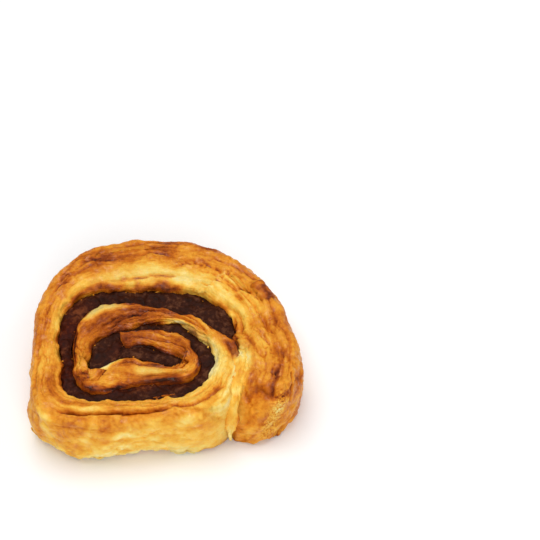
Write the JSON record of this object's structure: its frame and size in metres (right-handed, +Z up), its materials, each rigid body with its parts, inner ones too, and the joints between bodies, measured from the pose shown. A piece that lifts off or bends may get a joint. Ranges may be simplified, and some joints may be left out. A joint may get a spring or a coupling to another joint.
{
  "type": "cinnamon roll",
  "caption": "Oval laminated pastry roll, a spiral strip of flaky baked dough with a dark cinnamon filling between its wraps, lying flat.",
  "frame": {"origin": "under the middle of the roll's box, on the surface that it lies on", "axes": "+Z up, square to the cut face; +X along the roll's longer side, to the side of the strip's tail; -Y is the front, where the tail ends"},
  "size_m": [0.0954, 0.0852, 0.0269],
  "materials": {
    "baked_dough": "glazed flaky crust, golden to dark brown, of baked laminated dough",
    "cinnamon_filling": "matte, slightly grainy dark brown baked paste"
  },
  "bodies": {
    "root": {"dough": "baked_dough", "filling": "cinnamon_filling"}
  },
  "joints": []
}
